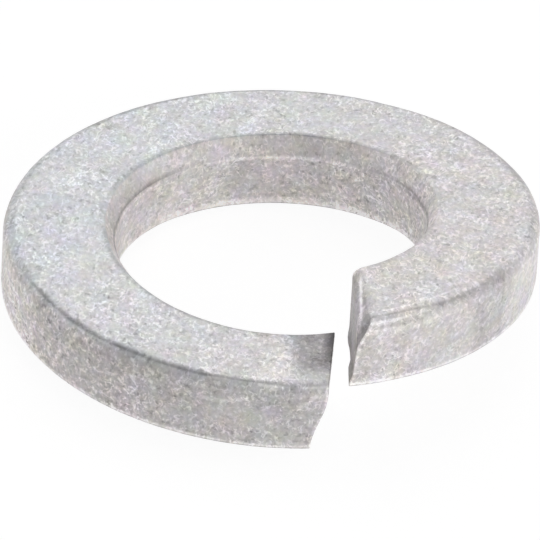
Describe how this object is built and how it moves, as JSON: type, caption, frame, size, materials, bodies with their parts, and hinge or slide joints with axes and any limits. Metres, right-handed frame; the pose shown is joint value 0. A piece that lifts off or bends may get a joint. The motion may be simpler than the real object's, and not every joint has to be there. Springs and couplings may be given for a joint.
{
  "type": "spring lock washer",
  "caption": "Split spring lock washer: trapezoid steel wire wound as a left-hand helix, sheared so that its ends stand apart and press against a bolt's head or nut.",
  "frame": {"origin": "on the bore's axis, at the height of the washer's lowest point, which is the foot of its lowered end", "axes": "+Z is the bolt's axis and the helix's axis, pointing to the side with the bevelled bore; the gap between the ends is on the -Y side and runs along Y"},
  "size_m": [0.0144, 0.0144, 0.0039],
  "materials": {
    "zinc_steel": "matt galvanised zinc over spring steel, finely speckled light grey"
  },
  "bodies": {
    "root": {"washer": "zinc_steel"}
  },
  "joints": []
}
